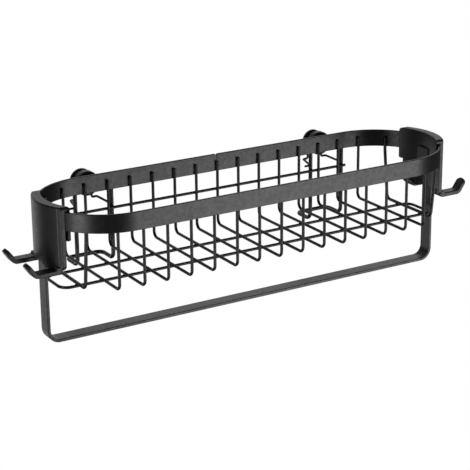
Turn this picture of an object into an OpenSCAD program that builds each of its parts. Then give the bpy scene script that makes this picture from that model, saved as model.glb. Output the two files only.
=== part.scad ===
// Wall hung wire basket with towel rail and end hooks
//
// A long, shallow basket of welded wire hangs from two round studs on the wall.
// Moulded clips sit over both rounded ends of its flat rim. They carry four
// coat hooks and a flat towel rail that runs along under the basket.
//
// Millimetres. +X runs along the basket, +Y points into the wall, +Z is up.
// The origin is on the wall, midway between the studs, at the studs' height.

/* [Rim] */
// Outside length of the flat rim band
rim_l = 370.6; // [300:0.1:440]
// Outside depth of the rim band, wall to front
rim_w = 108.2; // [90:0.1:130]
// Height of the flat bar that the rim is rolled from
rim_h = 15; // [12:0.5:20]
// Thickness of the rim's flat bar
rim_t = 2; // [1.5:0.1:3]
// Edge radius of all flat bar
bar_edge = 0.5; // [0.2:0.1:0.9]
// Gap where the two ends of the rim band meet
seam_gap = 0.3; // [0.1:0.1:0.6]
// Corner radius of the band's two ends
seam_r = 1.6; // [0.5:0.1:3]

/* [Basket wires] */
// Diameter of the basket's wires
wire_d = 2.5; // [2:0.1:3.5]
// Number of U wires
wire_n = 17; // [9:2:21]
// Spacing of the U wires
wire_pitch = 20.8; // [15:0.1:25]
// Depth of the floor below the rim band's lower edge
floor_drop = 47.3; // [35:0.1:70]
// Bend radius of a U wire's two lower corners
wire_bend = 5; // [3:0.5:10]
// How far the last U wire at each end leans in, per side
end_lean = 4.5; // [0:0.1:8]
// Length of U wire that lies against the inside of the band
wire_lap = 9; // [6:0.5:13]
// Length of the floor ring, between wire centres
ring_l = 358; // [300:0.5:365]
// Width of the floor ring, between wire centres
ring_w = 33; // [20:0.5:60]
// Corner radius of the floor ring
ring_r = 8; // [5:0.5:15]
// Length of the straight wire along the back
back_rail_l = 268.6; // [200:0.1:300]
// Drop of the back wire below the band's lower edge
back_rail_drop = 16; // [8:0.5:30]

/* [Hangers] */
// Distance between the two studs
stud_span = 230.6; // [150:0.1:260]
// Distance from the wall to the middle of the basket
wall_gap = 80; // [70:0.5:100]
// Drop from the band's top edge to the studs' centre line
stud_drop = 11; // [8:0.5:16]
// Diameter of the hanger frames' wire
leg_d = 3.5; // [3:0.1:5]
// Spacing of a hanger frame's two legs
leg_span = 33; // [24:0.5:44]
// Drop of the hanger frames' lower bar below the basket floor
leg_drop = 14.2; // [5:0.1:25]
// Bend radius of the hanger frames
leg_bend = 6; // [4:0.5:10]
// Diameter of the hanging loops' wire
loop_d = 2; // [1.6:0.1:2.5]
// Inside clearance between a hanging loop and its stud
loop_gap = 0.3; // [0.3:0.1:1]
// Distance from the wall to the hanging loops
loop_out = 5.8; // [5:0.1:8]
// Drop from the stud's centre to a loop's feet
loop_foot = 15; // [12:0.1:20]
// How far a loop's foot runs out before the arm turns forward
foot_run = 4.8; // [3:0.1:7]
// Overhang of the loop's left end past the leg it is welded to
tail_l = 4.4; // [2:0.1:7]
// Overhang of the loop's right end past the leg it is welded to
tail_r = 1.6; // [1:0.1:7]

/* [Wall studs] */
// Diameter of the round wall plate
plate_d = 20; // [16:0.5:40]
// Thickness of the wall plate
plate_t = 2.5; // [2:0.1:4]
// Thickness of the adhesive pad behind the wall plate
pad_t = 1; // [0.5:0.1:2]
// Diameter of the stud that carries the loop
stud_d = 12; // [8:0.5:14]
// Length of that stud in front of the wall plate
stud_l = 4.6; // [4:0.1:8]
// Diameter of the knob
knob_d = 21; // [16:0.5:30]
// Length of the knob
knob_l = 8; // [5:0.5:14]
// Diameter of the spigot inside the knob
spigot_d = 5; // [4:0.5:8]
// Metal left in front of the knob's blind bore
knob_cap = 2; // [1:0.1:4]

/* [End clips] */
// Height of a clip above the rim band's top edge
clip_up = 3.9; // [2:0.1:6]
// Drop of a clip's outer plate below the band's top edge
clip_drop = 47.5; // [35:0.5:60]
// Drop of a clip's inner lip below the band's top edge
lip_drop = 24; // [18:0.5:30]
// Width of a clip, along the wall-to-front direction
clip_w = 53.4; // [50:0.1:70]
// Thickness of the outer plate at its middle
clip_t = 4.8; // [3.8:0.1:7]
// Plan radius of the outer plate's outside
clip_r = 48; // [44:0.5:56]
// Thickness of the inner lip
lip_t = 1.3; // [1:0.1:3]
// Clearance between a clip and the rim band
clip_gap = 0.3; // [0.3:0.05:0.6]
// Width of the raised pad on the inner lip
pad_w = 15; // [8:0.5:22]
// Height of the pad's face above the inner lip
pad_h = 1.5; // [0.5:0.1:3]
// Drop from the band's top edge to the pad's top
pad_top = 9; // [4:0.5:16]
// Radius of the plate's lower corners
clip_corner = 5; // [2:0.5:10]
// Radius of the arch in the plate's lower edge, between the hooks
arch_r = 16; // [13:0.5:24]
// Height of that arch
arch_h = 3.5; // [1:0.5:6]

/* [Hooks] */
// Spacing of a clip's two hooks
hook_span = 40; // [30:0.5:46]
// Width of a hook
hook_w = 9.5; // [6:0.5:12]
// Thickness of a hook
hook_t = 3.8; // [2.5:0.1:5]
// Reach of a hook's flat part past the end of the rim band
hook_out = 15.5; // [10:0.5:30]
// Inside radius of the hook's bend
hook_bend = 2.5; // [1:0.5:6]
// Rise angle of the hook's tip
hook_angle = 55; // [30:1:80]
// Length of the hook's tip
hook_tip = 10.3; // [6:0.1:20]

/* [Towel rail] */
// Width of the towel rail's flat bar
rail_w = 12.5; // [10:0.5:16]
// Thickness of the towel rail's flat bar
rail_t = 2.6; // [2:0.1:4]
// Drop from the band's top edge to the towel rail's underside
rail_drop = 113; // [90:0.5:160]
// Inside bend radius of the towel rail
rail_bend = 8; // [4:0.5:20]
// Clearance between the towel rail's legs and the ends of the rim
rail_gap = 0.4; // [0.3:0.05:1]
// Drop from the band's top edge to the top of the rail's legs
rail_top = 8; // [4:0.5:20]

/* [Hidden] */
$fn = 72;
// sinking of one welded wire into the next, of wires into the rim, and of the loops into their legs
weld = 0.12;
lap_weld = 0.04;
loop_weld = 0.05;
// how much thicker a knuckle is than its wire
knuckle_over = 0.3;
// how far a cutting shape runs past what it cuts
cut = 1;
// corner radius of the rim's two ends, and the middle of each end arc
rim_r = rim_w / 2;
end_x = rim_l / 2 - rim_r;
// heights
z_top = stud_drop;
z_band = z_top - rim_h;
z_floor = z_band - floor_drop;
z_ring = z_floor - wire_d + weld;
z_back = z_band - back_rail_drop;
z_leg = z_floor - leg_drop;
// depths, measured from the wall
y_mid = -wall_gap;
wire_in = rim_r - rim_t - wire_d / 2 + lap_weld;
y_leg = y_mid + rim_r + leg_d / 2 - lap_weld;
y_loop = -loop_out;
// the back wire lies between the U wires and the hanger frames' legs
y_back = (y_mid + wire_in + wire_d / 2 + y_leg - leg_d / 2) / 2;
// start of the last U wires' lean, below the band
knee_drop = 3;
// distance from the middle of the floor ring's rear side to its joint
ring_joint = 12;
// hanger frames: top of the legs below the rim's top edge, and lower bar off the wall
leg_short = 2;
leg_off = 0.2;
// hanging loop
loop_r = stud_d / 2 + loop_gap + loop_d / 2;
loop_bend = 1.6;
loop_end_drop = 1.4;
stud_x = stud_span / 2;
// running clearance of the spigot in the knob and of the rail's legs in the clips
fit_gap = 0.05;
// rounding of turned edges, and of the knob's front edge
turned_edge = 0.8;
knob_edge = 2;
// how far the adhesive pad stays inside its plate's edge
pad_margin = 0.5;
// end of the spigot, short of the end of the knob's bore
spigot_short = 0.4;
y_spigot = pad_t + plate_t + stud_l + knob_l - knob_cap - spigot_short;
// rounding of a clip's upper outside edge
clip_edge = 1.2;
// plan of the block that bounds a clip
clip_x0 = end_x + 30;
clip_x1 = rim_l / 2 + clip_t + cut;
// depth of the clips' cutting shapes below the rim's top edge
clip_cut = 80;
// radius of the lip's inner face about the middle of the rim's end arc
lip_r = rim_r - rim_t - clip_gap - lip_t;
// fine grooves: distance from the plate's upright edge, width, depth and stop below the top
groove_in = 2.6;
groove_w = 0.6;
groove_deep = 0.35;
groove_stop = 1.6;
groove_turn = asin((clip_w / 2 - groove_in) / clip_r);
// how far the pad's face is set back from a full pad
pad_skin = 0.4;
// underside of the hooks, and how far a hook's arm starts inside the end of the rim
hook_low = 2.2;
z_hook = z_top - clip_drop - hook_low;
hook_root = 3.6;
// spare width of the cutter that rounds a hook's tip
tip_spare = 0.2;
// towel rail legs
leg_in = rim_l / 2 + rail_gap;
z_rail = z_top - rail_drop;

function wire_x(i) = (i - (wire_n - 1) / 2) * wire_pitch;
// half span of the U wire at x, inside the rounded ends of the rim, to 0.01 mm
function wire_y(x) = abs(x) <= end_x ? wire_in
    : round(100 * sqrt(pow(wire_in, 2) - pow(abs(x) - end_x, 2))) / 100;
function pad2(i) = i < 10 ? str("0", i) : str(i);
function wire_name(i) = str("basket_wire_", pad2(i + 1));

SIDES = [["left", -1], ["right", 1]];
WIRE_NODES = [for (i = [0 : wire_n - 1]) wire_name(i)];
HANGER_NODES = [for (s = SIDES) for (p = ["hanger_frame", "hanging_loop"]) str(p, "_", s[0])];
STUD_NODES = [for (s = SIDES) for (p = ["adhesive_pad", "wall_plate", "knob"]) str(p, "_", s[0])];
CLIP_NODES = [for (s = SIDES) str("hook_clip_", s[0])];

steel = [0.10, 0.10, 0.105];
plastic = [0.17, 0.17, 0.175];
foam = [0.82, 0.82, 0.80];

// ---- helpers ----

function unit(v) = v / norm(v);
function side_of(w) = unit(cross(w, abs(w[2]) < 0.9 ? [0, 0, 1] : [1, 0, 0]));

// places its children with local X, Y, Z along u, v, w and the origin at c
module frame_at(c, u, v, w) {
    multmatrix([[u[0], v[0], w[0], c[0]], [u[1], v[1], w[1], c[1]], [u[2], v[2], w[2], c[2]], [0, 0, 0, 1]])
        children();
}

// straight round bar from a to b
module rod(a, b, d) {
    w = unit(b - a);
    u = side_of(w);
    frame_at(a, u, cross(w, u), w) cylinder(h = norm(b - a), d = d);
}

// round elbow of radius r at corner p, from direction u into direction v
module elbow(p, u, v, r, d) {
    turn = acos(u * v);
    c = p + unit(v - u) * r / cos(turn / 2);
    start = p - u * r * tan(turn / 2);
    x = unit(start - c);
    frame_at(c, x, u, cross(x, u)) rotate_extrude(angle = turn) translate([r, 0]) circle(d = d);
}

function trim(pts, i, r) = (i == 0 || i == len(pts) - 1) ? 0
    : r * tan(acos(unit(pts[i] - pts[i - 1]) * unit(pts[i + 1] - pts[i])) / 2);

// round wire along a list of points, with every corner bent to radius r
module bent_wire(pts, r, d) {
    for (i = [0 : len(pts) - 2]) {
        u = unit(pts[i + 1] - pts[i]);
        rod(pts[i] + u * trim(pts, i, r), pts[i + 1] - u * trim(pts, i + 1, r), d);
    }
    for (i = [1 : len(pts) - 2])
        elbow(pts[i], unit(pts[i] - pts[i - 1]), unit(pts[i + 1] - pts[i]), r, d);
}

// knuckle where two slanting pieces of wire meet, a little thicker than the wire
module knuckle(p, d, turn = 0) translate(p) rotate([0, 0, turn]) sphere(d = d + knuckle_over);

// rectangle with rounded corners, its lower left corner at p
module round_rect(p, w, h, r) {
    translate(p) {
        translate([r, 0]) square([w - 2 * r, h]);
        translate([0, r]) square([w, h - 2 * r]);
        for (x = [r, w - r]) for (y = [r, h - r]) translate([x, y]) circle(r = r);
    }
}

// points along an arc about c, from one angle to another
function arc(c, r, from, to, n = 10) = [for (i = [0 : n])
    c + r * [cos(from + (to - from) * i / n), sin(from + (to - from) * i / n)]];

module mirror_to(side) {
    if (side < 0) mirror([1, 0, 0]) children();
    else children();
}

// ---- basket ----

module band_profile() round_rect([rim_r - rim_t, z_band], rim_t, rim_h, bar_edge);

// one rounded end of the band, about the middle of the right arc
module band_end() {
    translate([end_x, y_mid, 0]) rotate([0, 0, -90]) rotate_extrude(angle = 180) band_profile();
}

module band_side(y) {
    translate([-end_x, y_mid, 0]) rotate([90, 0, 90])
        linear_extrude(2 * end_x) mirror([y < 0 ? 1 : 0, 0]) band_profile();
}

// the slot between the band's ends, with their rounded corners
module seam() {
    y0 = y_mid + rim_r - rim_t - cut;
    translate([-seam_gap / 2, y0, z_band - cut]) cube([seam_gap, rim_t + 2 * cut, rim_h + 2 * cut]);
    for (sx = [-1, 1]) for (z = [[z_top, 1], [z_band, -1]])
        translate([sx * seam_gap / 2, y0, z[0]]) scale([sx, 1, z[1]]) difference() {
            translate([-seam_gap / 4, 0, -seam_r])
                cube([seam_r + seam_gap / 4, rim_t + 2 * cut, seam_r + cut]);
            translate([seam_r, -cut, -seam_r]) rotate([-90, 0, 0]) cylinder(r = seam_r, h = rim_t + 4 * cut);
        }
}

module rim_band() color(steel) difference() {
    union() {
        band_end();
        mirror([1, 0, 0]) band_end();
        band_side(-1);
        band_side(1);
    }
    seam();
}

// the last wire at each end: its two sides lean in below the band
module end_wire(i) {
    x = wire_x(i);
    h = wire_y(x);
    b = wire_bend;
    z_up = z_band + wire_lap;
    z_bend = z_band - knee_drop;
    color(steel) {
        for (s = [-1, 1]) {
            foot = [x, y_mid + s * (h - end_lean), z_floor + b];
            knee = [x, y_mid + s * h, z_bend];
            rod(knee, [x, y_mid + s * h, z_up], wire_d);
            knuckle(knee, wire_d);
            rod(foot, knee, wire_d);
            knuckle(foot, wire_d);
            translate([x, y_mid + s * (h - end_lean - b), z_floor + b]) rotate([0, -90, 0])
                rotate([0, 0, s > 0 ? 90 : 180]) rotate_extrude(angle = 90) translate([b, 0])
                    circle(d = wire_d);
        }
        rod([x, y_mid - h + end_lean + b, z_floor], [x, y_mid + h - end_lean - b, z_floor], wire_d);
    }
}

module basket_wire(i) {
    x = wire_x(i);
    h = wire_y(x);
    z_up = z_band + wire_lap;
    color(steel) bent_wire([[x, y_mid - h, z_up], [x, y_mid - h, z_floor],
        [x, y_mid + h, z_floor], [x, y_mid + h, z_up]], wire_bend, wire_d);
}

module floor_ring() {
    a = ring_l / 2;
    b = ring_w / 2;
    s = ring_joint;
    // closed ring: it starts and ends on its rear side, where the two ends are welded
    color(steel) translate([0, y_mid, z_ring]) bent_wire([[s, b, 0], [a, b, 0], [a, -b, 0],
        [-a, -b, 0], [-a, b, 0], [s, b, 0]], ring_r, wire_d);
}

module back_wire() color(steel)
    rod([-back_rail_l / 2, y_back, z_back], [back_rail_l / 2, y_back, z_back], wire_d);

// ---- hangers ----

module hanger_frame(side) {
    x = side * stud_x;
    h = leg_span / 2;
    y_far = -leg_d / 2 - leg_off;
    color(steel) bent_wire([[x - h, y_leg, z_top - leg_short], [x - h, y_leg, z_leg], [x - h, y_far, z_leg],
        [x + h, y_far, z_leg], [x + h, y_leg, z_leg], [x + h, y_leg, z_top - leg_short]], leg_bend, leg_d);
}

// one side of a loop: leg, foot, forward arm, and the tail welded across the frame's leg
module loop_side(tail) {
    toe = [loop_r + foot_run, y_loop, -loop_foot];
    end = [leg_span / 2, y_leg + leg_d / 2 + loop_d / 2 - loop_weld, -loop_foot - loop_end_drop];
    bent_wire([[loop_r, y_loop, 0], [loop_r, y_loop, -loop_foot], toe], loop_bend, loop_d);
    knuckle(toe, loop_d);
    rod(toe, end, loop_d);
    knuckle(end, loop_d, 180);
    rod(end, end + [tail, 0, 0], loop_d);
}

module hanging_loop(side) color(steel) translate([side * stud_x, 0, 0]) {
    // arch over the stud
    translate([0, y_loop, 0]) rotate([90, 0, 0]) rotate_extrude(angle = 180)
        translate([loop_r, 0]) circle(d = loop_d);
    loop_side(tail_r);
    mirror([1, 0, 0]) loop_side(tail_l);
}

// ---- wall studs ----

module wall_turn(side) translate([side * stud_x, 0, 0]) rotate([90, 0, 0]) children();

module adhesive_pad(side) color(foam) wall_turn(side) cylinder(h = pad_t, d = plate_d - 2 * pad_margin);

module wall_plate(side) color(steel) wall_turn(side) translate([0, 0, pad_t]) rotate_extrude() {
    e = turned_edge;
    square([plate_d / 2 - e, plate_t]);
    square([plate_d / 2, plate_t - e]);
    translate([plate_d / 2 - e, plate_t - e]) circle(r = e);
    square([stud_d / 2, plate_t + stud_l]);
    square([spigot_d / 2, y_spigot - pad_t]);
}

module knob(side) {
    y0 = pad_t + plate_t + stud_l;
    back = turned_edge;
    front = knob_edge;
    color(steel) wall_turn(side) difference() {
        translate([0, 0, y0]) rotate_extrude() {
            translate([0, back]) square([knob_d / 2, knob_l - front - back]);
            square([knob_d / 2 - back, knob_l - front]);
            translate([knob_d / 2 - back, back]) circle(r = back);
            square([knob_d / 2 - front, knob_l]);
            translate([knob_d / 2 - front, knob_l - front]) circle(r = front);
        }
        translate([0, 0, y0 - cut]) cylinder(h = knob_l - knob_cap + cut, d = spigot_d + 2 * fit_gap);
    }
}

// ---- end clips ----

// everything within the clip's width, with rounded lower corners
module clip_limits(low, r) {
    w = clip_w / 2;
    h = clip_up + low;
    l = clip_x1 - clip_x0;
    translate([clip_x0, y_mid, z_top - low]) {
        translate([0, -w, r]) cube([l, 2 * w, h - r]);
        translate([0, -w + r, 0]) cube([l, 2 * (w - r), r + cut]);
        for (s = [-1, 1]) translate([0, s * (w - r), r]) rotate([0, 90, 0]) cylinder(r = r, h = l);
    }
}

// solid crescent in plan, with a rounded top edge
module clip_outside() {
    e = clip_edge;
    xo = rim_l / 2 + clip_t;
    low = clip_drop + cut;
    translate([xo - clip_r, y_mid, z_top]) rotate_extrude() {
        translate([0, -low]) square([clip_r - e, low + clip_up]);
        translate([0, -low]) square([clip_r, low + clip_up - e]);
        translate([clip_r - e, clip_up - e]) circle(r = e);
    }
}

module about_end(z) translate([end_x, y_mid, z]) children();

// side view of a hook: flat arm, bend and slanting tip, from inside the plate
function hook_outline() = let (
    x0 = rim_l / 2 - hook_root,
    c = [rim_l / 2 + hook_out, hook_bend + hook_t],
    end = -90 + hook_angle,
    up = hook_tip * [cos(hook_angle), sin(hook_angle)],
    outer = arc(c, hook_bend + hook_t, -90, end),
    inner = arc(c, hook_bend, end, -90)
) concat([[x0, 0]], outer, [outer[len(outer) - 1] + up, inner[0] + up], inner, [[x0, hook_t]]);

module hook(y) {
    tip_r = hook_w / 2 + tip_spare;
    translate([0, y_mid + y, z_hook]) difference() {
        translate([0, hook_w / 2, 0]) rotate([90, 0, 0]) linear_extrude(hook_w) polygon(hook_outline());
        // rounds off the end of the tip
        translate([rim_l / 2 + hook_out, 0, hook_bend + hook_t]) rotate([0, -hook_angle, 0])
            translate([hook_tip - tip_r, 0, -hook_bend - hook_t - cut]) difference() {
                translate([tip_r / 6, -hook_w, 0]) cube([2 * tip_r, 2 * hook_w, hook_t + 2 * cut]);
                translate([0, 0, -cut]) cylinder(r = tip_r, h = hook_t + 4 * cut);
            }
    }
}

module clip_body() {
    difference() {
        union() {
            intersection() {
                clip_outside();
                clip_limits(clip_drop, clip_corner);
            }
            for (s = [-1, 1]) hook(s * hook_span / 2);
        }
        // room inside the lip
        about_end(z_top - clip_cut) cylinder(r = lip_r, h = clip_cut + clip_up + cut);
        // slot for the rim band
        about_end(z_top - clip_cut) difference() {
            cylinder(r = rim_r + clip_gap, h = clip_cut + clip_gap);
            translate([0, 0, -cut]) cylinder(r = lip_r + lip_t, h = clip_cut + 4 * cut);
        }
        // no lip below its lower edge
        about_end(z_top - clip_cut) cylinder(r = rim_r, h = clip_cut - lip_drop);
        // pocket for the towel rail's leg
        translate([rim_l / 2 - cut, y_mid - rail_w / 2 - fit_gap, z_top - clip_cut])
            cube([cut + rail_gap + rail_t + fit_gap, rail_w + 2 * fit_gap, clip_cut - rail_top + fit_gap]);
        // arch between the hooks
        translate([clip_x0, y_mid, z_top - clip_drop - arch_r + arch_h]) rotate([0, 90, 0])
            cylinder(r = arch_r, h = clip_x1 - clip_x0);
        // fine grooves along the plate's two upright edges
        for (s = [-1, 1]) translate([rim_l / 2 + clip_t - clip_r, y_mid, z_top])
            rotate([0, 0, s * groove_turn]) translate([clip_r - groove_deep, -groove_w / 2, -clip_drop - cut])
                cube([groove_deep + cut, groove_w, clip_drop + cut + clip_up - groove_stop]);
    }
    // raised pad on the lip
    intersection() {
        translate([end_x + lip_r - pad_h, y_mid - pad_w / 2, z_top - lip_drop])
            cube([pad_h + lip_t, pad_w, lip_drop - pad_top]);
        about_end(z_top - clip_cut) cylinder(r = lip_r + lip_t - pad_skin, h = clip_cut + cut);
    }
}

module hook_clip(side) color(plastic) mirror_to(side) clip_body();

// ---- towel rail ----

module rail_profile() round_rect([rail_bend, -rail_w / 2], rail_t, rail_w, bar_edge);

module rail_half() {
    xb = leg_in - rail_bend;
    zb = z_rail + rail_t + rail_bend;
    // leg
    translate([xb, y_mid, zb]) linear_extrude(z_top - rail_top - zb) rail_profile();
    // bend
    translate([xb, y_mid, zb]) rotate([90, 0, 0]) rotate([0, 0, -90]) rotate_extrude(angle = 90)
        rail_profile();
    // half of the run
    translate([0, y_mid, zb]) rotate([0, 90, 0]) linear_extrude(xb) rail_profile();
}

module towel_rail() color(steel) {
    rail_half();
    mirror([1, 0, 0]) rail_half();
}

// ---- assembly ----

rim_band();
floor_ring();
back_wire();
for (i = [0 : wire_n - 1]) {
    union() {
        if (i == 0 || i == wire_n - 1) end_wire(i);
        else basket_wire(i);
    }
}
for (s = SIDES) {
    hanger_frame(s[1]);
    hanging_loop(s[1]);
    adhesive_pad(s[1]);
    wall_plate(s[1]);
    knob(s[1]);
    hook_clip(s[1]);
}
towel_rail();
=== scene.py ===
import math

import bmesh
import bpy
from mathutils import Matrix, Vector


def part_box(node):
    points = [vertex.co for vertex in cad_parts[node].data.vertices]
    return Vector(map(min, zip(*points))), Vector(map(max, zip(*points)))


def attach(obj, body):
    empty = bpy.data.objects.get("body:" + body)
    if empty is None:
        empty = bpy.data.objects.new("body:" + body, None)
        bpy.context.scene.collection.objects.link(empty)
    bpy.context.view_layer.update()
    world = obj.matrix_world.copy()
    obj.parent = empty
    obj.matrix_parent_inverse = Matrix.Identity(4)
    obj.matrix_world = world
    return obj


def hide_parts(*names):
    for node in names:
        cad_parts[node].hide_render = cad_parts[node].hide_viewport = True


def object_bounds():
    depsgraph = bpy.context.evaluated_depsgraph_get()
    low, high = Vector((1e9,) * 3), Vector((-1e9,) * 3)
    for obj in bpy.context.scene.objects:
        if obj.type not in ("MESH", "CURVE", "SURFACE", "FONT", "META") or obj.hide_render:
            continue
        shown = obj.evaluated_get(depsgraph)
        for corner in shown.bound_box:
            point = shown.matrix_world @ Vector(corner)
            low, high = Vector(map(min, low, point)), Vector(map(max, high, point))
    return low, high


# A wall hung wire basket with a towel rail and end hooks, in metres.
# The CAD frame gives every place and outside size. The sizes below are those
# that a node's box can't give: bar sections, bends, clearances and edges.

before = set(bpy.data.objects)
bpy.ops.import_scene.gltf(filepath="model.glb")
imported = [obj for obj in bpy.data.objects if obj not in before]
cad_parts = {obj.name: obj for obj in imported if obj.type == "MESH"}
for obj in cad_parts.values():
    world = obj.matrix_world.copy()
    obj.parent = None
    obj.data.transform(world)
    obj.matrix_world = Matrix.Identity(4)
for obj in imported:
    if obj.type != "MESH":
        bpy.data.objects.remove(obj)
cad_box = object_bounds()

MM = 0.001

# ---- sizes that the frame's boxes don't give ----

BAND_T = 2.0 * MM  # thickness of the rim's flat bar
BAND_EDGE = 0.5 * MM  # edge radius of the rim's flat bar
SEAM_R = 1.6 * MM  # corner radius of the band's two ends
SEAM_GAP = 0.3 * MM  # gap between the band's two ends
SEAM_SLIM = 0.3 * MM  # how much slimmer the band is at its two cut ends
WIRE_BEND = 5.0 * MM  # bend of a U wire's lower corners
END_LEAN = 4.5 * MM  # how far the last U wires lean in
KNEE_DROP = 3.0 * MM  # start of that lean, below the band
KNEE_BEND = 12.0 * MM  # bend where the lean starts
FOOT_IN = 0.5 * MM  # extra inset of those wires' feet
RING_BEND = 8.0 * MM  # corner radius of the floor ring
LEG_BEND = 6.0 * MM  # bend of the hanger frames
LEG_SPAN = 33.0 * MM  # spacing of a hanger frame's legs
LOOP_R = 7.3 * MM  # centreline radius of a hanging loop's arch
LOOP_FOOT = 15.0 * MM  # drop from the arch's centre to the loop's feet
FOOT_RUN = 4.8 * MM  # length of a loop's foot
LOOP_BEND = 1.6 * MM  # bends of a hanging loop
TAIL_BEND = 0.9 * LOOP_BEND  # bends before a loop's welded tails
ARCH_SHORT = 0.01 * MM  # straight left between the two bends that form a loop's arch
FOAM_WAIST = 0.25 * MM  # how far a foam pad's rims stay inside its middle
PLATE_T = 2.5 * MM  # thickness of a wall plate
PLATE_RING = 0.2 * MM  # width of the ring drawn on a wall plate's back face
TURNED_EDGE = 0.8 * MM  # rounding of a turned part's outer edges
STUD_R = 6.0 * MM  # radius of the stud that carries the loop
STUD_L = 4.6 * MM  # length of the stud in front of its plate
SPIGOT_R = 2.5 * MM  # radius of the spigot in the knob
SPIGOT_END = 0.5 * MM  # width of the rounded rim at the spigot's end
BORE_GAP = 0.05 * MM  # clearance of the spigot in the knob's bore
KNOB_CAP = 2.0 * MM  # metal in front of the knob's bore
KNOB_EDGE = 2.0 * MM  # rounding of the knob's front edge
DISH_IN = 3.0 * MM  # distance of the knob's dish from its outer edge
DISH_SLOPE = 1.0 * MM  # width of the dish's slope
DISH_DEEP = 0.35 * MM  # depth of the dish
AXIS_R = 0.2 * MM  # radius of the small flat that closes a profile at its axis
CLIP_UP = 3.9 * MM  # height of a clip above the band
LIP_DROP = 24.0 * MM  # drop of the clip's lip below the band's top
CLIP_R = 48.0 * MM  # plan radius of a clip's outside
CLIP_T = 4.8 * MM  # thickness of a clip's plate at its middle
LIP_T = 1.3 * MM  # thickness of a clip's lip
CLIP_GAP = 0.3 * MM  # clearance between a clip and the band
CLIP_CORNER = 5.0 * MM  # lower corners of a clip's plate
LIP_CORNER = 2.0 * MM  # corners of a clip's lip
CLIP_SIDE = 0.45 * MM  # rounding of a clip's two side faces
CLIP_EDGES = (0.5, 0.8, 1.3, 0.5, 0.3, 0.2, 0.2, 0.5)  # mm, round a clip's section from the lip's foot
LEAST_EDGE = 0.05  # mm, least rounding where the section is drawn in
ARCH_R = 16.0 * MM  # radius of the arch between the hooks
ARCH_DROP = 12.5 * MM  # drop of the arch's centre below the plate
GROOVE_IN = 2.6 * MM  # distance of the fine groove from each upright edge
GROOVE_DEEP = 0.3 * MM  # depth of the groove
GROOVE_HALF = 0.45 * MM  # half width of the groove
HOOK_SPAN = 40.0 * MM  # spacing of a clip's two hooks
HOOK_W = 9.5 * MM  # width of a hook
HOOK_T = 3.8 * MM  # thickness of a hook
HOOK_BEND = 2.5 * MM  # inside radius of a hook's bend
HOOK_ANGLE = math.radians(55)  # rise of a hook's tip
HOOK_TIP = 10.3 * MM  # length of a hook's tip
HOOK_OUT = 15.5 * MM  # reach of a hook's flat part past the rim
HOOK_LOW = 2.2 * MM  # drop of a hook's underside below the plate
HOOK_ROOT = 4.5 * MM  # rounding under a hook's root
HOOK_FILLET = 2.2 * MM  # fillet between the plate and the top of a hook
HOOK_IN = 2.0 * MM  # how deep a hook's root starts inside the plate
HOOK_EDGE = 0.9 * MM  # rounding of a hook's long edges
HOOK_SOFT = 1.1 * MM  # rounding of the round end of a hook's tip
TIP_STEP = 8.6  # degrees between two rings of that round end
EDGE_SHARE = 0.45  # most of a bar's thickness that an edge may take
PAD_W = 15.0 * MM  # width of the raised pad on the lip
PAD_H = 1.5 * MM  # height of that pad
PAD_TOP = 9.0 * MM  # drop from the band's top to the pad's top
PAD_FOOT = 0.3 * MM  # rise of the pad's foot above the lip's
PAD_EDGE = 0.4 * MM  # rounding of the pad's face
PAD_CORNER = 1.0 * MM  # corners of the pad
PAD_NECK = 0.55 * MM  # inset of the neck that the pad stands on
PAD_SUNK = 0.9 * MM  # how deep the neck starts inside the lip
NECK_H = 0.5 * MM  # height of the neck above the lip
RAIL_T = 2.6 * MM  # thickness of the towel rail's bar
RAIL_BEND = 8.0 * MM  # inside bend of the towel rail
BAR_EDGE = 0.5 * MM  # edge radius of the towel rail's bar
RAIL_SLIM = 0.4 * MM  # how much slimmer the towel rail is at its two cut ends

SIDES = (("left", -1), ("right", 1))
BEND_STEP = math.radians(7.5)  # finest turn between two rings of a bend
WIRE_SIDES = 20  # points round a wire
CUT_EDGE = 0.35 * MM  # rounding of a cut wire's end
CUT_STEPS = 3  # steps in that rounding
STRAIGHT = 1e-4  # a smaller turn, in radians, counts as straight
SHARP_ANGLE = math.radians(38)  # edges sharper than this stay sharp
END_STEPS = 60  # steps round each end of the band

# ---- places, from the frame ----

band_lo, band_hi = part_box("rim_band")
RIM_R = (band_hi.y - band_lo.y) / 2
END_X = band_hi.x - RIM_R
Y_MID = (band_lo.y + band_hi.y) / 2
Z_TOP = band_hi.z
Z_BAND = band_lo.z

# ---- mesh helpers ----


def skin(bm, rings, closed=False):
    """A closed skin over a run of rings that have the same number of points."""
    rows = [[bm.verts.new(p) for p in ring] for ring in rings]
    pairs = list(zip(rows, rows[1:]))
    if closed:
        pairs.append((rows[-1], rows[0]))
    faces = []
    for a, b in pairs:
        for i in range(len(a)):
            j = (i + 1) % len(a)
            faces.append(bm.faces.new((a[i], a[j], b[j], b[i])))
    if not closed:
        faces.append(bm.faces.new(rows[0][::-1]))
        faces.append(bm.faces.new(rows[-1]))
    bmesh.ops.recalc_face_normals(bm, faces=faces)


def corner(before, p, after, radius, steps=None):
    """Points of the arc that rounds the corner p, or p itself when it has no radius."""
    u = (p - before).normalized()
    v = (after - p).normalized()
    turn = u.angle(v)
    if radius == 0 or turn < STRAIGHT:
        return [p] * ((steps or 0) + 1)
    axis = u.cross(v).normalized()
    start = p - u * radius * math.tan(turn / 2)
    centre = start + axis.cross(u) * radius
    count = steps or max(2, math.ceil(turn / BEND_STEP))
    spoke = start - centre
    return [centre + Matrix.Rotation(turn * k / count, 3, axis) @ spoke for k in range(count + 1)]


def bent(points, radii, closed=False, steps=None):
    """A line through the points with each corner rounded. radii is one radius or one for each point."""
    n = len(points)
    radii = radii if isinstance(radii, (list, tuple)) else [radii] * n
    path = []
    for i, p in enumerate(points):
        if not closed and i in (0, n - 1):
            path.append(p)
        else:
            path += corner(points[i - 1], p, points[(i + 1) % n], radii[i], steps)
    return path


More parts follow.
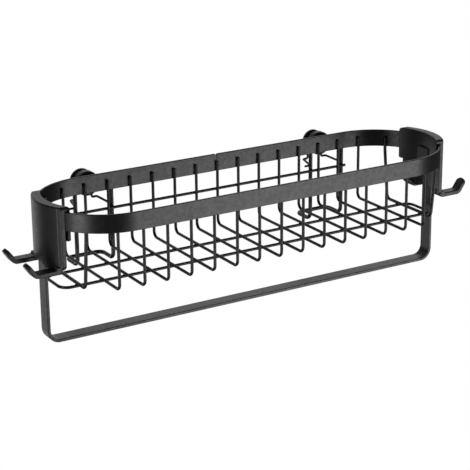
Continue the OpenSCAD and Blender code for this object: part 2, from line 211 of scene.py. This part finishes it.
def directions(path, closed=False):
    """The direction of travel at each point of a path."""
    n = len(path)
    found = []
    for i in range(n):
        a = path[i - 1] if closed or i > 0 else path[0]
        b = path[(i + 1) % n] if closed or i < n - 1 else path[-1]
        found.append((b - a).normalized())
    return found


def tube(bm, path, radius, closed=False):
    """A round wire along a path. Open ends are cut square with a small rounding."""
    radii = [radius] * len(path)
    if not closed:
        bends = [math.radians(90 / CUT_STEPS) * k for k in range(CUT_STEPS + 1)]
        ends = [(math.sin(a), 1 - math.cos(a)) for a in bends]
        first, last = path[0], path[-1]
        u = (path[1] - first).normalized()
        v = (path[-2] - last).normalized()
        rims = [radius - CUT_EDGE * (1 - s) for s, _ in ends]
        head = [first + u * CUT_EDGE * c for _, c in ends]
        tail = [last + v * CUT_EDGE * c for _, c in ends[::-1]]
        path = head + path[1:-1] + tail
        radii = rims + radii[1:-1] + rims[::-1]
    tangents = directions(path, closed)
    side = tangents[0].orthogonal().normalized()
    rings = []
    for p, t, r in zip(path, tangents, radii):
        side = (side - t * side.dot(t)).normalized()
        other = t.cross(side)
        turns = [2 * math.pi * k / WIRE_SIDES for k in range(WIRE_SIDES)]
        rings.append([p + (side * math.cos(a) + other * math.sin(a)) * r for a in turns])
    skin(bm, rings, closed)


def bar_ring(p, across, along, thick, wide, edge, steps=4):
    """A rounded rectangle about p: thick along one direction and wide along the other."""
    a, b = across * thick / 2, along * wide / 2
    return bent([p - a - b, p + a - b, p + a + b, p - a + b], edge, closed=True, steps=steps)


def lathe(bm, x, profile, sides=72):
    """A solid of revolution about the stud at x. Profile points are (radius, distance from the wall)."""
    turns = [2 * math.pi * k / sides for k in range(sides)]
    skin(bm, [[Vector((x + r * math.cos(a), -y, r * math.sin(a))) for a in turns] for r, y in profile])


def bead(bm, centre, size):
    """A smooth lens of weld metal or coating, with half sizes along X, Y and Z."""
    steps, sides = 8, 14
    turns = [2 * math.pi * k / sides for k in range(sides)]

    def at(a, b):
        x = size[0] * math.sin(a) * math.cos(b)
        y = size[1] * math.sin(a) * math.sin(b)
        return centre + Vector((x, y, size[2] * math.cos(a)))

    skin(bm, [[at(math.pi * i / steps, b) for b in turns] for i in range(1, steps)])


def piece(name, bm, body, material, stands_for=()):
    """Turns a mesh into a piece that rides on a body and stands for CAD nodes."""
    mesh = bpy.data.meshes.new(name)
    bm.to_mesh(mesh)
    bm.free()
    mesh.shade_smooth()
    mesh.set_sharp_from_angle(angle=SHARP_ANGLE)
    mesh.materials.append(material)
    obj = bpy.data.objects.new(name, mesh)
    bpy.context.scene.collection.objects.link(obj)
    even = obj.modifiers.new("even_shading", "WEIGHTED_NORMAL")
    even.keep_sharp = True
    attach(obj, body)
    if stands_for:
        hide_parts(*stands_for)
    return obj


# ---- materials ----

COAT_BLACK = (0.010, 0.010, 0.0105)
STUD_BLACK = (0.012, 0.012, 0.0125)
PLASTIC_BLACK = (0.026, 0.026, 0.0265)
FOAM_WHITE = (0.62, 0.62, 0.60)
CLOUD_SIZE = 9.0 * MM  # size of the clouds in a finish's tone
GLOSS_SIZE = 3.0 * MM  # size of the patches in its gloss
GLOSS_SPREAD = 0.05  # how far its roughness strays
SKIN_DEPTH = 0.03 * MM  # height of its fine skin
NOISE_LOW, NOISE_HIGH = 0.3, 0.7  # range of the noise that is spread out

def coat(name, colour, roughness, grain, grain_size, mottle=0.15):
    """Satin powder coat or fine moulded plastic: mottled tone, uneven gloss and a fine skin."""
    mat = bpy.data.materials.new(name)
    mat.use_nodes = True
    nodes, links = mat.node_tree.nodes, mat.node_tree.links
    shader = nodes["Principled BSDF"]
    place = nodes.new("ShaderNodeTexCoord").outputs["Object"]

    def noise(size, detail):
        made = nodes.new("ShaderNodeTexNoise")
        made.inputs["Scale"].default_value = 1 / size
        made.inputs["Detail"].default_value = detail
        links.new(place, made.inputs["Vector"])
        return made.outputs["Fac"]

    def spread(value, low, high):
        made = nodes.new("ShaderNodeMapRange")
        made.inputs["From Min"].default_value = NOISE_LOW
        made.inputs["From Max"].default_value = NOISE_HIGH
        made.inputs["To Min"].default_value = low
        made.inputs["To Max"].default_value = high
        links.new(value, made.inputs["Value"])
        return made.outputs["Result"]

    cloudy = noise(CLOUD_SIZE, 3)
    tone = nodes.new("ShaderNodeMix")
    tone.data_type = "RGBA"
    tone.inputs["A"].default_value = (*[c * (1 - mottle) for c in colour], 1)
    tone.inputs["B"].default_value = (*[c * (1 + mottle) for c in colour], 1)
    links.new(spread(cloudy, 0, 1), tone.inputs["Factor"])
    links.new(tone.outputs["Result"], shader.inputs["Base Color"])
    gloss = spread(noise(GLOSS_SIZE, 4), roughness - GLOSS_SPREAD, roughness + GLOSS_SPREAD)
    links.new(gloss, shader.inputs["Roughness"])
    skin_bump = nodes.new("ShaderNodeBump")
    skin_bump.inputs["Strength"].default_value = grain
    skin_bump.inputs["Distance"].default_value = SKIN_DEPTH
    links.new(noise(grain_size, 2), skin_bump.inputs["Height"])
    links.new(skin_bump.outputs["Normal"], shader.inputs["Normal"])
    return mat


bar_coat = coat("bar_powder_coat", COAT_BLACK, roughness=0.36, grain=0.35, grain_size=0.7 * MM)
wire_coat = coat("wire_powder_coat", COAT_BLACK, roughness=0.40, grain=0.35, grain_size=0.6 * MM)
stud_coat = coat("stud_powder_coat", STUD_BLACK, roughness=0.38, grain=0.3, grain_size=0.6 * MM)
clip_plastic = coat("moulded_plastic", PLASTIC_BLACK, roughness=0.42, grain=0.5, grain_size=0.35 * MM)
pad_foam = coat("pad_foam", FOAM_WHITE, roughness=0.85, grain=0.8, grain_size=0.5 * MM, mottle=0.06)

# ---- rim band ----


def band_stations():
    """(point, outward direction, distance from the seam up to SEAM_R) round the band, from seam to seam."""
    r = RIM_R - BAND_T / 2
    start = SEAM_GAP / 2
    ends = sorted({SEAM_R * (1 - math.cos(math.radians(15 * k))) for k in range(7)})
    back, front = Vector((0, 1, 0)), Vector((0, -1, 0))
    run = [(Vector((start + s, Y_MID + r, 0)), back, s) for s in ends]
    for k in range(END_STEPS + 1):
        a = math.pi / 2 - math.pi * k / END_STEPS
        out = Vector((math.cos(a), math.sin(a), 0))
        run.append((Vector((END_X, Y_MID, 0)) + out * r, out, SEAM_R))
    mirrored = [(Vector((-p.x, p.y, 0)), Vector((-o.x, o.y, 0)), s) for p, o, s in reversed(run)]
    middle = [(Vector((0, Y_MID - r, 0)), front, SEAM_R)]
    return run + middle + mirrored


def rim_band():
    """Flat bar rolled to a ring with rounded ends, and butted at the back with rounded corners."""
    bm = bmesh.new()
    up = Vector((0, 0, 1))
    z_mid = (Z_TOP + Z_BAND) / 2
    tall = Z_TOP - Z_BAND
    rings = []
    for p, out, s in band_stations():
        cut = SEAM_R - math.sqrt(SEAM_R**2 - (SEAM_R - s) ** 2)
        slim = SEAM_SLIM if s == 0 else 0
        rings.append(bar_ring(p + up * z_mid, out, up, BAND_T - slim, tall - 2 * cut, BAND_EDGE - slim / 2))
    skin(bm, rings)
    piece("rim_flat_bar", bm, "basket", bar_coat, ["rim_band"])


# ---- basket wires ----


def u_wire(node, leaning):
    """One wire bent to a U, with its two ends against the inside of the band."""
    lo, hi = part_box(node)
    r = (hi.x - lo.x) / 2
    x = (lo.x + hi.x) / 2
    z_low, z_high = lo.z + r, hi.z
    bm = bmesh.new()
    left, right = lo.y + r, hi.y - r
    if leaning:
        z_knee = Z_BAND - KNEE_DROP
        left_foot = left + END_LEAN + FOOT_IN
        right_foot = right - END_LEAN - FOOT_IN
        line = [(left, z_high), (left, z_knee), (left_foot, z_low)]
        line += [(right_foot, z_low), (right, z_knee), (right, z_high)]
        radii = [0, KNEE_BEND, WIRE_BEND, WIRE_BEND, KNEE_BEND, 0]
    else:
        line = [(left, z_high), (left, z_low), (right, z_low), (right, z_high)]
        radii = WIRE_BEND
    tube(bm, bent([Vector((x, y, z)) for y, z in line], radii), r)
    piece(node.replace("basket_wire", "u_wire"), bm, "basket", wire_coat, [node])


def floor_ring():
    lo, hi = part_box("floor_ring")
    r = (hi.z - lo.z) / 2
    z = (lo.z + hi.z) / 2
    a, b = hi.x - r, hi.y - r
    c, d = lo.x + r, lo.y + r
    corners = [Vector((a, b, z)), Vector((a, d, z)), Vector((c, d, z)), Vector((c, b, z))]
    bm = bmesh.new()
    tube(bm, bent(corners, RING_BEND, closed=True), r, closed=True)
    piece("floor_wire_ring", bm, "basket", wire_coat, ["floor_ring"])


def back_wire():
    lo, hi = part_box("back_wire")
    r = (hi.z - lo.z) / 2
    y, z = (lo.y + hi.y) / 2, (lo.z + hi.z) / 2
    bm = bmesh.new()
    tube(bm, [Vector((x, y, z)) for x in (lo.x, lo.x / 3, hi.x / 3, hi.x)], r)
    piece("back_cross_wire", bm, "basket", wire_coat, ["back_wire"])


# ---- hangers ----


def hanger_frame(name):
    """Two legs down the back of the basket and a bar that stands off from the wall."""
    node = f"hanger_frame_{name}"
    lo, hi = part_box(node)
    x = (lo.x + hi.x) / 2
    h = LEG_SPAN / 2
    r = (hi.x - lo.x) / 2 - h
    y, far, z = lo.y + r, hi.y - r, lo.z + r
    line = [(-h, y, hi.z), (-h, y, z), (-h, far, z), (h, far, z), (h, y, z), (h, y, hi.z)]
    bm = bmesh.new()
    tube(bm, bent([Vector((x + a, b, c)) for a, b, c in line], LEG_BEND), r)
    piece(f"hanger_{name}", bm, "basket", wire_coat, [node])


def hanging_loop(name):
    """Thin wire bent over the wall stud and welded across the hanger frame's legs."""
    node = f"hanging_loop_{name}"
    lo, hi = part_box(node)
    x, z_stud = stud_centre(name)
    r = hi.z - z_stud - LOOP_R
    near, far = lo.y + r, hi.y - r
    h = LEG_SPAN / 2
    foot_z = z_stud - LOOP_FOOT
    end_z = lo.z + r
    foot = LOOP_R + FOOT_RUN
    line = [
        (lo.x - x, near, end_z),
        (LOOP_BEND - h, near, end_z),
        (-foot, far, foot_z),
        (-LOOP_R, far, foot_z),
        (-LOOP_R, far, z_stud + LOOP_R),
        (LOOP_R, far, z_stud + LOOP_R),
        (LOOP_R, far, foot_z),
        (foot, far, foot_z),
        (h - LOOP_BEND, near, end_z),
        (hi.x - x, near, end_z),
    ]
    arch = LOOP_R - ARCH_SHORT
    radii = [0, TAIL_BEND, LOOP_BEND, LOOP_BEND, arch, arch, LOOP_BEND, LOOP_BEND, TAIL_BEND, 0]
    bm = bmesh.new()
    tube(bm, bent([Vector((x + a, b, c)) for a, b, c in line], radii), r)
    piece(f"loop_{name}", bm, "basket", wire_coat, [node])


def stud_centre(name):
    lo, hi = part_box(f"wall_plate_{name}")
    return (lo.x + hi.x) / 2, (lo.z + hi.z) / 2


# ---- welds ----

# half sizes of the welds, in wire radii unless they say otherwise
CROSS_WIDE = 1.25  # where two wires cross, along both
RING_THIN = 0.45  # between a U wire and the floor ring
BACK_THIN = 0.6  # between a U wire and the back wire
LAP_WIDE = 1.15  # beside a U wire on the band
LAP_THIN = 0.35  # between that wire and the band
LAP_LONG = 0.45  # share of the lap's length
LEG_WIDE = 1.05  # beside a leg on the band
LEG_THIN = 0.3  # between the leg and the band
LEG_LONG = 0.42  # share of the length on the band
LOOP_WIDE = 1.3 * MM  # where a loop crosses a leg
LOOP_THIN = 0.5 * MM  # between that loop and the leg
LOOP_UP = 1.0 * MM  # height of that weld's middle above the loop's lowest point

def basket_welds():
    """Small lenses of metal where the wires, the band and the legs are welded to each other."""
    bm = bmesh.new()
    ring_lo, ring_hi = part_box("floor_ring")
    back_lo, back_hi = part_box("back_wire")
    ring_r = (ring_hi.z - ring_lo.z) / 2
    for node in wire_nodes:
        lo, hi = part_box(node)
        r = (hi.x - lo.x) / 2
        x = (lo.x + hi.x) / 2
        joint_z = (lo.z + ring_hi.z) / 2
        for y in (ring_lo.y + ring_r, ring_hi.y - ring_r):
            bead(bm, Vector((x, y, joint_z)), (CROSS_WIDE * r, CROSS_WIDE * r, RING_THIN * r))
        if back_lo.x - r < x < back_hi.x + r:
            y = (hi.y + back_lo.y) / 2
            size = (CROSS_WIDE * r, BACK_THIN * r, CROSS_WIDE * r)
            bead(bm, Vector((x, y, (back_lo.z + back_hi.z) / 2)), size)
        reach = max(0.0, abs(x) - END_X)
        for side in (-1, 1):
            inside = math.sqrt((RIM_R - BAND_T) ** 2 - reach**2)
            lap_z = (Z_BAND + hi.z) / 2
            size = (LAP_WIDE * r, LAP_THIN * r, LAP_LONG * (hi.z - Z_BAND))
            bead(bm, Vector((x, Y_MID + side * inside, lap_z)), size)
    for name, _ in SIDES:
        lo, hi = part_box(f"hanger_frame_{name}")
        loop_lo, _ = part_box(f"hanging_loop_{name}")
        r = (hi.x - lo.x - LEG_SPAN) / 2
        z_mid = (Z_BAND + hi.z) / 2
        for x in (lo.x + r, hi.x - r):
            size = (LEG_WIDE * r, LEG_THIN * r, LEG_LONG * (hi.z - Z_BAND))
            bead(bm, Vector((x, Y_MID + RIM_R, z_mid)), size)
            loop_weld = Vector((x, lo.y + 2 * r, loop_lo.z + LOOP_UP))
            bead(bm, loop_weld, (LOOP_WIDE, LOOP_THIN, LOOP_WIDE))
    piece("weld_metal", bm, "basket", wire_coat)


# ---- wall studs ----


def rounded(points, radii, steps=5):
    """Profile points (radius, distance) with rounded corners, for lathe."""
    path = bent([Vector((r, y, 0)) for r, y in points], radii, steps=steps)
    return [(p.x, p.y) for p in path]


def adhesive_pad(name):
    node = f"adhesive_pad_{name}"
    lo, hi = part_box(node)
    x = (lo.x + hi.x) / 2
    r, thick = (hi.x - lo.x) / 2, hi.y - lo.y
    near = -hi.y
    bm = bmesh.new()
    steps = 6
    bulge = [math.pi * k / steps for k in range(steps + 1)]
    side = [(r - FOAM_WAIST * (1 - math.sin(a)), near + thick * k / steps) for k, a in enumerate(bulge)]
    lathe(bm, x, side)
    piece(f"foam_pad_{name}", bm, "wall_studs", pad_foam, [node])


def wall_plate(name):
    node = f"wall_plate_{name}"
    lo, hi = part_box(node)
    x, _ = stud_centre(name)
    r, y = (hi.x - lo.x) / 2, -hi.y
    front = y + PLATE_T + STUD_L
    corners = [(r - PLATE_RING, y), (r, y), (r, y + PLATE_T), (STUD_R, y + PLATE_T)]
    corners += [(STUD_R, front), (SPIGOT_R, front), (SPIGOT_R, -lo.y), (SPIGOT_R - SPIGOT_END, -lo.y)]
    # one rounding for each corner
    radii = [0, 0.15 * MM, TURNED_EDGE, 0.3 * MM, 0.2 * MM, 0.1 * MM, 0.4 * MM, 0]
    bm = bmesh.new()
    lathe(bm, x, rounded(corners, radii))
    piece(f"stud_plate_{name}", bm, "wall_studs", stud_coat, [node])


def knob(name):
    """Round cap with a blind bore, a soft front edge and a shallow dish."""
    node = f"knob_{name}"
    lo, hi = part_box(node)
    x, _ = stud_centre(name)
    r, back, front = (hi.x - lo.x) / 2, -hi.y, -lo.y
    bore = SPIGOT_R + BORE_GAP
    deep = front - KNOB_CAP
    dish = r - DISH_IN
    corners = [(AXIS_R, deep), (bore, deep), (bore, back), (r, back), (r, front)]
    corners += [(dish, front), (dish - DISH_SLOPE, front - DISH_DEEP), (AXIS_R, front - DISH_DEEP)]
    # one rounding for each corner
    radii = [0, 0, 0.25 * MM, TURNED_EDGE, KNOB_EDGE, 0.3 * MM, 0.6 * MM, 0]
    bm = bmesh.new()
    lathe(bm, x, rounded(corners, radii, steps=7))
    piece(f"screw_knob_{name}", bm, f"knob_{name}", stud_coat, [node])


# ---- end clips ----


def arc_x(centre, radius, y, inset=0.0):
    return centre + math.sqrt((radius + inset) ** 2 - y**2)


def corner_cut(y, half, radius):
    """How far a rounded corner has risen at y, on an edge that ends at half."""
    over = abs(y) - (half - radius)
    return radius - math.sqrt(max(0.0, radius**2 - over**2)) if over > 0 else 0.0


def clip_section(y, inset, half, z_low, rim_end):
    """The clip's hook shaped section at y from its middle, each face drawn in by inset."""
    z_under = z_low + corner_cut(y, half, CLIP_CORNER)
    arch = ARCH_R**2 - y**2
    if arch > 0:
        z_under = max(z_under, z_low - ARCH_DROP + math.sqrt(arch))
    z_lip = Z_TOP - LIP_DROP + corner_cut(y, half, LIP_CORNER)
    z_cap = Z_TOP + CLIP_UP - corner_cut(y, half, LIP_CORNER)
    groove = GROOVE_DEEP * max(0.0, 1 - abs(abs(y) - half + GROOVE_IN) / GROOVE_HALF)
    outer = arc_x(rim_end + CLIP_T - CLIP_R, CLIP_R, y) - inset - groove
    slot_out = arc_x(END_X, RIM_R + CLIP_GAP, y) + inset
    slot_in = arc_x(END_X, RIM_R - BAND_T - CLIP_GAP, y) - inset
    lip = arc_x(END_X, RIM_R - BAND_T - CLIP_GAP - LIP_T, y) + inset
    slot_top = Z_TOP + CLIP_GAP + inset
    corners = [(lip, z_lip + inset), (lip, z_cap - inset), (outer, z_cap - inset), (outer, z_under + inset)]
    corners += [(slot_out, z_under + inset), (slot_out, slot_top)]
    corners += [(slot_in, slot_top), (slot_in, z_lip + inset)]
    radii = [max(LEAST_EDGE, r - inset / MM) * MM for r in CLIP_EDGES]
    return bent([Vector((x, y, z)) for x, z in corners], radii, closed=True, steps=4)


def clip_stations(half):
    """Places across the clip, closer at its ends, its grooves and its arch."""
    inner = half - CLIP_CORNER
    places = {inner * k / 30 for k in range(31)}
    places |= {half - GROOVE_IN + GROOVE_HALF * d / 9 for d in (-9, -4, 0, 4, 9)}
    places |= {inner + (CLIP_CORNER - CLIP_SIDE) * math.sin(math.radians(10 * k)) for k in range(10)}
    flat = sorted(round(y, 6) for y in places)
    turns = [math.radians(18 * k) for k in range(1, 6)]
    rim = [(half - CLIP_SIDE + CLIP_SIDE * math.sin(a), CLIP_SIDE * (1 - math.cos(a))) for a in turns]
    one_side = [(y, 0.0) for y in flat] + rim
    return [(-y, d) for y, d in reversed(one_side) if y > 0] + one_side


def clip_hook(bm, y0, z0, rim_end):
    """A flat hook: rounded root, arm, bend and a slanting tip with a round end."""
    mid = HOOK_T / 2
    up = Vector((0, 0, 1))
    across = Vector((0, 1, 0))
    x_root = arc_x(rim_end + CLIP_T - CLIP_R, CLIP_R, abs(y0) + HOOK_W / 2) - HOOK_IN
    x_face = arc_x(rim_end + CLIP_T - CLIP_R, CLIP_R, y0)
    x_bend = rim_end + HOOK_OUT
    centre = Vector((x_bend, y0, z0 + HOOK_BEND + HOOK_T))
    stations = []
    places = [x_root + HOOK_ROOT * (1 - math.cos(math.radians(15 * k))) for k in range(7)]
    places += [x_face + HOOK_FILLET * k / 6 for k in range(7)]
    places += [x_face + HOOK_FILLET + (x_bend - x_face - HOOK_FILLET) * k / 4 for k in range(1, 4)]
    for x in sorted(places):
        short = min(HOOK_ROOT, max(0.0, x_root + HOOK_ROOT - x))
        under = HOOK_ROOT - math.sqrt(HOOK_ROOT**2 - short**2)
        near = min(HOOK_FILLET, max(0.0, x_face + HOOK_FILLET - x))
        over = HOOK_FILLET - math.sqrt(HOOK_FILLET**2 - near**2)
        z = z0 + (under + HOOK_T + over) / 2
        stations.append((Vector((x, y0, z)), up, HOOK_T + over - under, HOOK_W))
    for k in range(9):
        a = HOOK_ANGLE * k / 8
        out = Vector((math.sin(a), 0, -math.cos(a)))
        stations.append((centre + out * (HOOK_BEND + mid), -out, HOOK_T, HOOK_W))
    out = Vector((math.sin(HOOK_ANGLE), 0, -math.cos(HOOK_ANGLE)))
    along = Vector((math.cos(HOOK_ANGLE), 0, math.sin(HOOK_ANGLE)))
    base = centre + out * (HOOK_BEND + mid)
    tip_r = HOOK_W / 2
    stations.append((base + along * (HOOK_TIP - tip_r) * 0.5, -out, HOOK_T, HOOK_W))
    for k in range(11):
        a = math.radians(TIP_STEP * k)
        wide = 2 * (tip_r - HOOK_SOFT) * math.cos(a) + 2 * HOOK_SOFT * math.cos(a) ** 0.5
        thick = HOOK_T - 2 * HOOK_SOFT * (1 - math.cos(a) ** 0.5)
        stations.append((base + along * (HOOK_TIP - tip_r + tip_r * math.sin(a)), -out, thick, wide))
    rings = []
    for p, normal, thick, wide in stations:
        edge = min(HOOK_EDGE, EDGE_SHARE * thick, EDGE_SHARE * wide)
        rings.append(bar_ring(p, normal, across, thick, wide, edge, steps=5))
    skin(bm, rings)


def lip_pad(bm, rim_end):
    """The raised pad in the middle of the lip's inner face."""
    x_in = rim_end - BAND_T - CLIP_GAP - LIP_T
    z_high, z_low = Z_TOP - PAD_TOP, Z_TOP - LIP_DROP + PAD_FOOT
    middle = Vector((0, 0, (z_high + z_low) / 2))
    rings = []
    # the pad stands on a narrower neck, which leaves a fine dark line around it
    stations = [(PAD_SUNK, PAD_NECK), (-NECK_H, PAD_NECK), (-NECK_H, 0.0)]
    for k in range(5):
        a = math.radians(22.5 * k)
        stations.append((-PAD_H + PAD_EDGE * (1 - math.sin(a)), PAD_EDGE * (1 - math.cos(a))))
    for x, inset in stations:
        p = middle + Vector((x_in + x, 0, 0))
        tall, wide = z_high - z_low - 2 * inset, PAD_W - 2 * inset
        rings.append(bar_ring(p, Vector((0, 0, 1)), Vector((0, 1, 0)), tall, wide, PAD_CORNER, steps=5))
    skin(bm, rings)


def end_clip(name, side):
    """Moulded clip over the band's end: crescent plate, top, lip, pad, arch and two hooks."""
    node = f"hook_clip_{name}"
    lo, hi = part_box(node)
    rim_end = band_hi.x
    half = (hi.y - lo.y) / 2
    z_low = lo.z + HOOK_LOW
    bm = bmesh.new()
    skin(bm, [clip_section(y, d, half, z_low, rim_end) for y, d in clip_stations(half)])
    for y in (-HOOK_SPAN / 2, HOOK_SPAN / 2):
        clip_hook(bm, y, lo.z, rim_end)
    lip_pad(bm, rim_end)
    for v in bm.verts:
        v.co = Vector((side * v.co.x, Y_MID + v.co.y, v.co.z))
    bmesh.ops.recalc_face_normals(bm, faces=bm.faces)
    piece(f"end_clip_{name}", bm, "rail_unit", clip_plastic, [node])


# ---- towel rail ----


def towel_rail():
    """Flat bar bent at both lower corners, with its legs up inside the clips."""
    lo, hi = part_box("towel_rail")
    wide = hi.y - lo.y
    x, z = hi.x - RAIL_T / 2, lo.z + RAIL_T / 2
    line = [(-x, hi.z), (-x, z), (x, z), (x, hi.z)]
    path = bent([Vector((a, Y_MID, b)) for a, b in line], RAIL_BEND + RAIL_T / 2)
    across = Vector((0, 1, 0))
    rings = []
    last = len(path) - 1
    for i, (p, t) in enumerate(zip(path, directions(path))):
        slim = RAIL_SLIM if i in (0, last) else 0
        rings.append(bar_ring(p, t.cross(across), across, RAIL_T - slim, wide - slim, BAR_EDGE - slim / 2))
    bm = bmesh.new()
    skin(bm, rings)
    piece("towel_bar", bm, "rail_unit", bar_coat, ["towel_rail"])


# ---- build ----

wire_nodes = sorted(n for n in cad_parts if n.startswith("basket_wire_"))
rim_band()
for node in wire_nodes:
    u_wire(node, leaning=node in (wire_nodes[0], wire_nodes[-1]))
floor_ring()
back_wire()
for name, side in SIDES:
    hanger_frame(name)
    hanging_loop(name)
    adhesive_pad(name)
    wall_plate(name)
    knob(name)
    end_clip(name, side)
basket_welds()
towel_rail()

# ---- stage, lights and camera ----

FLOOR_DROP = 1.0  # self-lit floor this far below the rack
FLOOR_SIZE = 8.0  # half the floor's side
FLOOR_GLOW = 1.0
BACKDROP_R = 10.0  # radius of the self-lit dome around everything
BACKDROP_GLOW = 1.02
ROOM_GLOW = 0.06  # faint light from all round
HEADING = math.radians(31.07)  # the camera looks this far round from +Y towards +X
DIP = math.radians(18.70)  # and this far below the horizon
ROLL = math.radians(-0.47)
CAMERA_PLACE = Vector((-0.6373, -1.1252, 0.3686))
SENSOR = 36  # mm
LENS = 118.47  # mm
SHIFT_X, SHIFT_Y = -0.0129, -0.0030
NEAREST = 0.05  # nearest distance that the camera sees


def glow(name, bm, brightness):
    """A pale self-lit stage surface, like a light table, that the rack doesn't mirror."""
    mesh = bpy.data.meshes.new(name)
    bm.to_mesh(mesh)
    bm.free()
    mat = bpy.data.materials.new(name)
    mat.use_nodes = True
    shader = mat.node_tree.nodes["Principled BSDF"]
    shader.inputs["Base Color"].default_value = (0, 0, 0, 1)
    shader.inputs["Roughness"].default_value = 1.0
    shader.inputs["Specular IOR Level"].default_value = 0.0
    shader.inputs["Emission Color"].default_value = (1, 1, 1, 1)
    shader.inputs["Emission Strength"].default_value = brightness
    mesh.materials.append(mat)
    obj = bpy.data.objects.new(name, mesh)
    obj.visible_glossy = False
    obj.visible_diffuse = False
    obj.visible_shadow = False
    bpy.context.scene.collection.objects.link(obj)


def pale_floor():
    bm = bmesh.new()
    bmesh.ops.create_grid(bm, x_segments=1, y_segments=1, size=FLOOR_SIZE)
    bmesh.ops.translate(bm, verts=bm.verts, vec=(0, 0, cad_box[0].z - FLOOR_DROP))
    glow("pale_floor", bm, FLOOR_GLOW)


def pale_backdrop():
    bm = bmesh.new()
    bmesh.ops.create_uvsphere(bm, u_segments=32, v_segments=16, radius=BACKDROP_R)
    glow("pale_backdrop", bm, BACKDROP_GLOW)


def softbox(name, azimuth, elevation, distance, wide, tall, brightness):
    """A soft panel seen from the rack at an azimuth left of -Y and an elevation, in degrees."""
    light = bpy.data.lights.new(name, "AREA")
    light.shape = "RECTANGLE"
    light.size, light.size_y = wide, tall
    light.energy = brightness * math.pi * wide * tall
    a, e = math.radians(azimuth), math.radians(elevation)
    towards = Vector((-math.sin(a) * math.cos(e), -math.cos(a) * math.cos(e), math.sin(e)))
    obj = bpy.data.objects.new(name, light)
    obj.location = (cad_box[0] + cad_box[1]) / 2 + towards * distance
    obj.rotation_euler = towards.to_track_quat("Z", "Y").to_euler()
    obj.visible_camera = False
    bpy.context.scene.collection.objects.link(obj)


def camera():
    data = bpy.data.cameras.new("camera")
    data.sensor_width = SENSOR
    data.lens = LENS
    data.shift_x = SHIFT_X
    data.shift_y = SHIFT_Y
    data.clip_start = NEAREST
    obj = bpy.data.objects.new("camera", data)
    ahead = math.cos(DIP)
    forward = Vector((math.sin(HEADING) * ahead, math.cos(HEADING) * ahead, -math.sin(DIP)))
    level = forward.to_track_quat("-Z", "Y").to_matrix()
    obj.matrix_world = Matrix.Translation(CAMERA_PLACE) @ (level @ Matrix.Rotation(ROLL, 3, "Z")).to_4x4()
    bpy.context.scene.collection.objects.link(obj)
    bpy.context.scene.camera = obj


def dim_room():
    world = bpy.data.worlds.new("dim_room")
    world.use_nodes = True
    background = world.node_tree.nodes["Background"]
    background.inputs["Color"].default_value = (1, 1, 1, 1)
    background.inputs["Strength"].default_value = ROOM_GLOW
    bpy.context.scene.world = world


dim_room()
pale_floor()
pale_backdrop()
softbox("front_right", azimuth=-32, elevation=-17, distance=1.2, wide=0.76, tall=0.70, brightness=3.9)
softbox("front_left", azimuth=72, elevation=-16, distance=1.2, wide=0.40, tall=0.80, brightness=4.2)
softbox("back_left", azimuth=166, elevation=-18, distance=1.3, wide=1.00, tall=0.80, brightness=0.9)
softbox("behind", azimuth=203, elevation=15, distance=1.5, wide=2.4, tall=1.2, brightness=0.85)
# the standard view keeps thin dark wires crisp against the bright stage
bpy.context.scene.view_settings.view_transform = "Standard"
camera()
